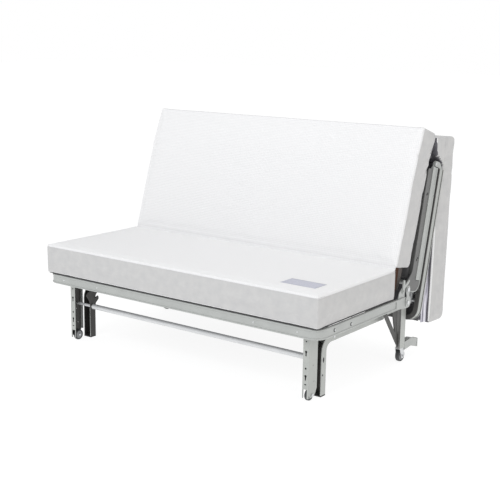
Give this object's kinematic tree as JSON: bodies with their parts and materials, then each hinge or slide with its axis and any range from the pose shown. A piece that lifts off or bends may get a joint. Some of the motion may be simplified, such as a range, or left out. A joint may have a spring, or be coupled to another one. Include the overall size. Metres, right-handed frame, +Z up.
{
  "type": "rollaway bed",
  "caption": "Rolling sofa-style rollaway bed: steel frame in hinged sections with white mattress sections, reclining back and a folded foot section.",
  "frame": {"origin": "middle of the footprint's bounding box, on the floor", "axes": "+X along the width, +Y from the seat's front to the back, +Z up"},
  "size_m": [1.394, 1.0084, 0.9581],
  "materials": {
    "frame_paint": "satin pale grey powder coat",
    "zinc": "bright zinc",
    "dark_steel": "matte dark grey",
    "cover_knit": "white quilted knit",
    "deck_cloth": "dark woven cloth",
    "wheel_plastic": "two-tone grey",
    "foot_cap": "dark moulded"
  },
  "bodies": {
    "seat_frame": {"seat_rail": "frame_paint", "seat_cross_tube": "dark_steel", "seat_deck": "deck_cloth", "seat_mattress": "cover_knit", "front_leg_right": "frame_paint", "front_leg_left": "frame_paint", "side_bar_right": "frame_paint", "side_bar_left": "frame_paint", "front_foot_right": "foot_cap", "front_foot_left": "foot_cap", "front_axle_right": "zinc", "front_axle_left": "zinc", "rear_leg_right": "frame_paint", "rear_leg_left": "frame_paint", "rear_brace_right": "dark_steel", "rear_brace_left": "dark_steel", "anti_tip_heel_right": "frame_paint", "anti_tip_heel_left": "frame_paint", "rear_fork_right": "zinc", "rear_fork_left": "zinc", "rear_axle_right": "zinc", "rear_axle_left": "zinc", "back_riser_right": "frame_paint", "back_riser_left": "frame_paint", "riser_bolt_right": "zinc", "riser_bolt_left": "zinc", "back_pin_right": "zinc", "back_pin_left": "zinc", "lock_bracket_right": "frame_paint", "lock_bracket_left": "frame_paint"},
    "release": {"release_bar": "zinc", "release_claw": "dark_steel"},
    "lock_right": {"lock_pawl_right": "frame_paint"},
    "wheel_front_right": {"front_wheel_right": "wheel_plastic"},
    "wheel_rear_right": {"rear_wheel_right": "wheel_plastic"},
    "lock_left": {"lock_pawl_left": "frame_paint"},
    "wheel_front_left": {"front_wheel_left": "wheel_plastic"},
    "wheel_rear_left": {"rear_wheel_left": "wheel_plastic"},
    "back_frame": {"back_arm_right": "dark_steel", "back_arm_left": "dark_steel", "back_rail_right": "frame_paint", "back_rail_left": "frame_paint", "back_strap_right": "frame_paint", "back_strap_left": "frame_paint", "fold_pin_right": "zinc", "fold_pin_left": "zinc", "back_lower_tube": "frame_paint", "back_upper_tube": "frame_paint", "back_deck": "deck_cloth"},
    "foot_frame": {"foot_rail": "frame_paint", "foot_strap_right": "frame_paint", "foot_strap_left": "frame_paint", "foot_top_tube": "frame_paint", "foot_deck": "deck_cloth"},
    "back_pad": {"back_mattress": "cover_knit"},
    "foot_pad": {"foot_mattress": "cover_knit"},
    "middle_leg": {"middle_leg": "zinc"},
    "foot_leg": {"foot_leg": "zinc"}
  },
  "joints": [
    {"name": "back_recline", "type": "hinge", "parent": "seat_frame", "child": "back_frame", "pos_m": [0, 0.13975, 0.326], "axis": [-1, 0, 0], "range_deg": [0, 76.5]},
    {"name": "foot_unfold", "type": "hinge", "parent": "back_frame", "child": "foot_frame", "pos_m": [0, 0.34943, 0.80529], "axis": [1, 0, 0], "range_deg": [0, 180]},
    {"name": "back_pad_fold", "type": "hinge", "parent": "seat_frame", "child": "back_pad", "pos_m": [0, 0.04825, 0.4235], "axis": [-1, 0, 0], "range_deg": [0, 73]},
    {"name": "foot_pad_settle", "type": "hinge", "parent": "foot_frame", "child": "foot_pad", "pos_m": [0, 0.01238, 0.67249], "axis": [-1, 0, 0], "range_deg": [0, 12]},
    {"name": "middle_leg_drop", "type": "hinge", "parent": "back_frame", "child": "middle_leg", "pos_m": [0, 0.31383, 0.69557], "axis": [1, 0, 0], "range_deg": [0, 90]},
    {"name": "foot_leg_drop", "type": "hinge", "parent": "foot_frame", "child": "foot_leg", "pos_m": [0, 0.26246, 0.25026], "axis": [1, 0, 0], "range_deg": [0, 90]},
    {"name": "release_turn", "type": "hinge", "parent": "seat_frame", "child": "release", "pos_m": [0, -0.40625, 0.16], "axis": [1, 0, 0], "range_deg": [0, 20]},
    {"name": "lock_lever_right", "type": "hinge", "parent": "seat_frame", "child": "lock_right", "pos_m": [0, 0.10175, 0.326], "axis": [1, 0, 0], "range_deg": [0, 20]},
    {"name": "lock_lever_left", "type": "hinge", "parent": "seat_frame", "child": "lock_left", "pos_m": [0, 0.10175, 0.326], "axis": [1, 0, 0], "range_deg": [0, 20]},
    {"name": "front_wheel_spin_right", "type": "hinge", "parent": "seat_frame", "child": "wheel_front_right", "pos_m": [0.598, -0.41425, 0.022], "axis": [1, 0, 0], "continuous": true},
    {"name": "rear_wheel_spin_right", "type": "hinge", "parent": "seat_frame", "child": "wheel_rear_right", "pos_m": [0.6335, 0.20775, 0.0255], "axis": [1, 0, 0], "continuous": true},
    {"name": "front_wheel_spin_left", "type": "hinge", "parent": "seat_frame", "child": "wheel_front_left", "pos_m": [-0.598, -0.41425, 0.022], "axis": [1, 0, 0], "continuous": true},
    {"name": "rear_wheel_spin_left", "type": "hinge", "parent": "seat_frame", "child": "wheel_rear_left", "pos_m": [-0.6335, 0.20775, 0.0255], "axis": [1, 0, 0], "continuous": true}
  ],
  "couplings": [
    {"joint": "foot_unfold", "follows": "back_recline", "ratio": 2.3529},
    {"joint": "back_pad_fold", "follows": "back_recline", "ratio": 0.95425},
    {"joint": "foot_pad_settle", "follows": "back_recline", "ratio": 0.15686},
    {"joint": "middle_leg_drop", "follows": "back_recline", "ratio": 1.1765},
    {"joint": "foot_leg_drop", "follows": "back_recline", "ratio": 1.1765}
  ]
}
